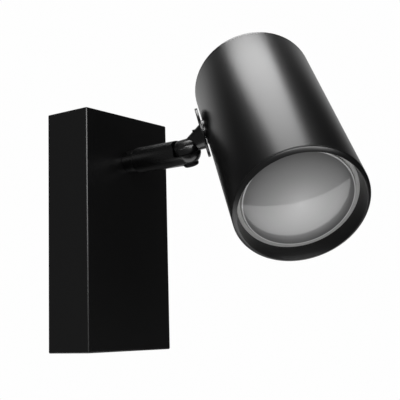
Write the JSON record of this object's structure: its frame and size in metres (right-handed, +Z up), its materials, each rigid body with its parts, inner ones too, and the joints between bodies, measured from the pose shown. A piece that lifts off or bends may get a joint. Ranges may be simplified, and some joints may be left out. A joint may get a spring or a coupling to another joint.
{
  "type": "pivoting spotlight wall light",
  "caption": "Wall spotlight: an upright wall box, a short round arm that swivels, a tilting knuckle and a long round lamp head that turns on a thin disc.",
  "frame": {"origin": "centre of the wall box's back, on the wall", "axes": "+Z up, +Y into the wall, the arm stands out along -Y"},
  "size_m": [0.1025, 0.1638, 0.1536],
  "materials": {
    "black_coat": "satin black powder coat",
    "arm_coat": "smooth satin black enamel",
    "zinc_sheet": "zinc-plated sheet steel",
    "zinc_screw": "bright zinc plate",
    "black_screw": "black oxide",
    "brass": "plain turned brass",
    "terminal_plastic": "moulded natural nylon",
    "rubber": "soft black rubber",
    "fibre_washer": "natural nylon sheet",
    "lead_brown": "brown silicone insulation",
    "lead_blue": "blue silicone insulation",
    "lead_earth": "green and yellow silicone insulation",
    "lead_bundle": "silicone insulation",
    "ring_grey": "light grey moulded ring",
    "lamp_body": "satin grey moulded lamp body",
    "lamp_lens": "frosted diffuser, lamp off",
    "porcelain": "unglazed steatite"
  },
  "bodies": {
    "wall_box": {"box_cover": "black_coat", "wall_bracket": "zinc_sheet", "swivel_plate": "zinc_sheet", "cover_screws": "black_screw", "inlet_grommet": "rubber", "terminal_block": "terminal_plastic", "terminal_inserts": "brass", "terminal_screws": "zinc_screw", "block_screw": "zinc_screw", "earth_washer": "zinc_screw", "earth_tag": "brass", "earth_screw": "brass", "box_live_lead": "lead_brown", "box_neutral_lead": "lead_blue", "box_earth_lead": "lead_earth"},
    "arm": {"threaded_nipple": "zinc_screw", "neck_collar": "arm_coat", "friction_washer": "fibre_washer", "stop_washer": "zinc_screw", "arm_nut": "zinc_screw", "arm_tube": "arm_coat", "lap_washer": "fibre_washer", "arm_leads": "lead_bundle"},
    "stem": {"knuckle_stem": "arm_coat", "pivot_spring_washer": "zinc_screw", "pivot_screw": "black_screw", "mount_disc": "arm_coat", "swivel_stud": "zinc_screw", "stud_washer": "zinc_screw", "stud_nut": "zinc_screw", "lead_grip_screw": "black_screw", "stem_leads": "lead_bundle"},
    "head": {"head_tube": "black_coat", "saddle_pad": "arm_coat", "inner_saddle": "zinc_sheet", "rear_cap": "black_coat", "front_ring": "black_coat", "centring_ring": "ring_grey", "lamp_shell": "lamp_body", "lamp_lens": "lamp_lens", "lamp_pins": "brass", "lampholder": "porcelain", "holder_plate": "zinc_sheet", "pillars": "brass", "plate_screws": "zinc_screw", "cap_screws": "black_screw", "holder_screws": "zinc_screw", "head_earth_tag": "brass", "head_earth_screw": "brass", "head_live_lead": "lead_brown", "head_neutral_lead": "lead_blue", "head_earth_lead": "lead_earth"}
  },
  "joints": [
    {"name": "arm_swivel", "type": "hinge", "parent": "wall_box", "child": "arm", "pos_m": [0, -0.0267, 0.036], "axis": [0, 1, 0], "range_deg": [-139.5, 190.5]},
    {"name": "knuckle_tilt", "type": "hinge", "parent": "arm", "child": "stem", "pos_m": [0, -0.0651, 0.036], "axis": [-0.4305, 0, 0.9026], "range_deg": [-66, 44]},
    {"name": "head_turn", "type": "hinge", "parent": "stem", "child": "head", "pos_m": [-0.00301, -0.0651, 0.04232], "axis": [0.5305, -0.809, 0.253], "range_deg": [-114.8, 65.2]}
  ]
}
